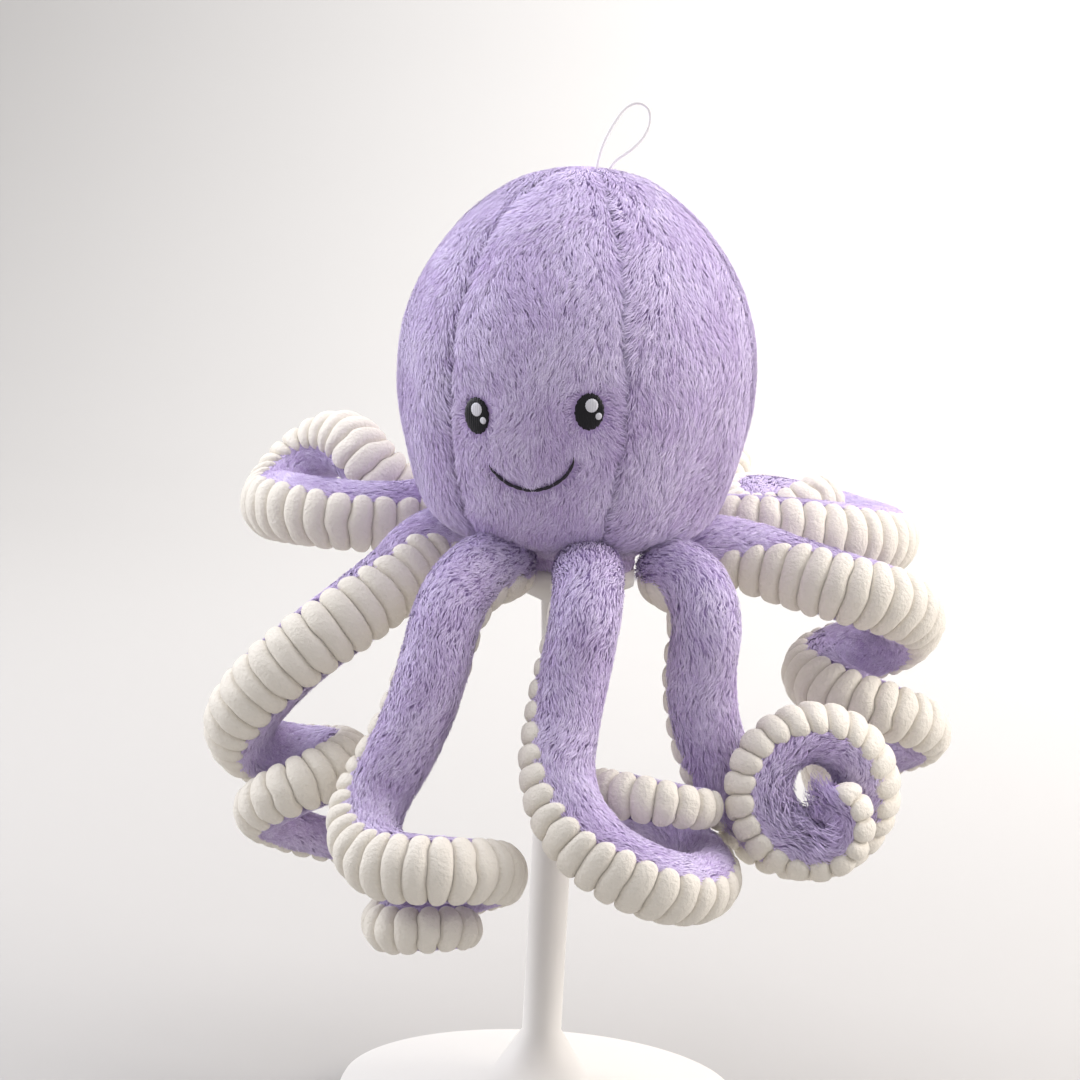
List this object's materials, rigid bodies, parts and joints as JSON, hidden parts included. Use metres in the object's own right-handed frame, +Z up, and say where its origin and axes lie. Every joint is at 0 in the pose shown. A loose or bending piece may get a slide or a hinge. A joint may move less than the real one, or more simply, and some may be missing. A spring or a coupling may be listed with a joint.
{
  "type": "plush octopus toy",
  "caption": "Stuffed plush octopus with a tall gored fur head, an embroidered face, a hanging loop and eight curled arms with ribbed undersides.",
  "frame": {"origin": "centre of the flat seat, on the underside of the base disc", "axes": "+Z up through the crown of the head, -Y the way the face looks, +X to the toy's left hand"},
  "size_m": [0.4623, 0.4953, 0.4871],
  "materials": {
    "lavender_fur": "soft faux fur pile",
    "ribbed_velour": "short nap in wide padded ribs",
    "fibre_filling": "loose fibre",
    "black_satin_stitch": "satin stitch",
    "white_satin_stitch": "satin stitch",
    "dark_thread": "embroidery thread",
    "white_cord": "smooth round cord"
  },
  "bodies": {
    "head": {"head_gore_1": "lavender_fur", "head_gore_2": "lavender_fur", "head_gore_3": "lavender_fur", "head_gore_4": "lavender_fur", "head_gore_5": "lavender_fur", "head_gore_6": "lavender_fur", "head_stuffing": "fibre_filling", "base_disc": "lavender_fur", "eye_patches": "black_satin_stitch", "eye_highlights": "white_satin_stitch", "mouth_stitch": "dark_thread", "hang_loop": "white_cord"},
    "arm_1": {"arm_1_fur_panel": "lavender_fur", "arm_1_ribbed_panel": "ribbed_velour", "arm_1_stuffing": "fibre_filling"},
    "arm_2": {"arm_2_fur_panel": "lavender_fur", "arm_2_ribbed_panel": "ribbed_velour", "arm_2_stuffing": "fibre_filling"},
    "arm_3": {"arm_3_fur_panel": "lavender_fur", "arm_3_ribbed_panel": "ribbed_velour", "arm_3_stuffing": "fibre_filling"},
    "arm_4": {"arm_4_fur_panel": "lavender_fur", "arm_4_ribbed_panel": "ribbed_velour", "arm_4_stuffing": "fibre_filling"},
    "arm_5": {"arm_5_fur_panel": "lavender_fur", "arm_5_ribbed_panel": "ribbed_velour", "arm_5_stuffing": "fibre_filling"},
    "arm_6": {"arm_6_fur_panel": "lavender_fur", "arm_6_ribbed_panel": "ribbed_velour", "arm_6_stuffing": "fibre_filling"},
    "arm_7": {"arm_7_fur_panel": "lavender_fur", "arm_7_ribbed_panel": "ribbed_velour", "arm_7_stuffing": "fibre_filling"},
    "arm_8": {"arm_8_fur_panel": "lavender_fur", "arm_8_ribbed_panel": "ribbed_velour", "arm_8_stuffing": "fibre_filling"}
  },
  "joints": [
    {"name": "arm_1_lift", "type": "hinge", "parent": "head", "child": "arm_1", "pos_m": [-0.05752, 0.03095, 0.024], "axis": [0.3827, 0.9239, 0], "range_deg": [-40, 0]},
    {"name": "arm_2_lift", "type": "hinge", "parent": "head", "child": "arm_2", "pos_m": [-0.05752, -0.02415, 0.012], "axis": [-0.3827, 0.9239, 0], "range_deg": [-8, 3]},
    {"name": "arm_3_lift", "type": "hinge", "parent": "head", "child": "arm_3", "pos_m": [-0.01855, -0.06312, 0.004], "axis": [-0.9239, 0.3827, 0], "range_deg": [0, 30]},
    {"name": "arm_4_lift", "type": "hinge", "parent": "head", "child": "arm_4", "pos_m": [0.03655, -0.06312, 0.004], "axis": [-0.9239, -0.3827, 0], "range_deg": [0, 35]},
    {"name": "arm_5_lift", "type": "hinge", "parent": "head", "child": "arm_5", "pos_m": [0.07552, -0.02415, 0.004], "axis": [-0.3827, -0.9239, 0], "range_deg": [0, 40]},
    {"name": "arm_6_lift", "type": "hinge", "parent": "head", "child": "arm_6", "pos_m": [0.07552, 0.03095, 0.012], "axis": [0.3827, -0.9239, 0], "range_deg": [-40, 0]},
    {"name": "arm_7_lift", "type": "hinge", "parent": "head", "child": "arm_7", "pos_m": [0.03655, 0.06992, 0.024], "axis": [0.9239, -0.3827, 0], "range_deg": [-8, 0]},
    {"name": "arm_8_lift", "type": "hinge", "parent": "head", "child": "arm_8", "pos_m": [-0.01855, 0.06992, 0.024], "axis": [0.9239, 0.3827, 0], "range_deg": [-40, 0]}
  ]
}
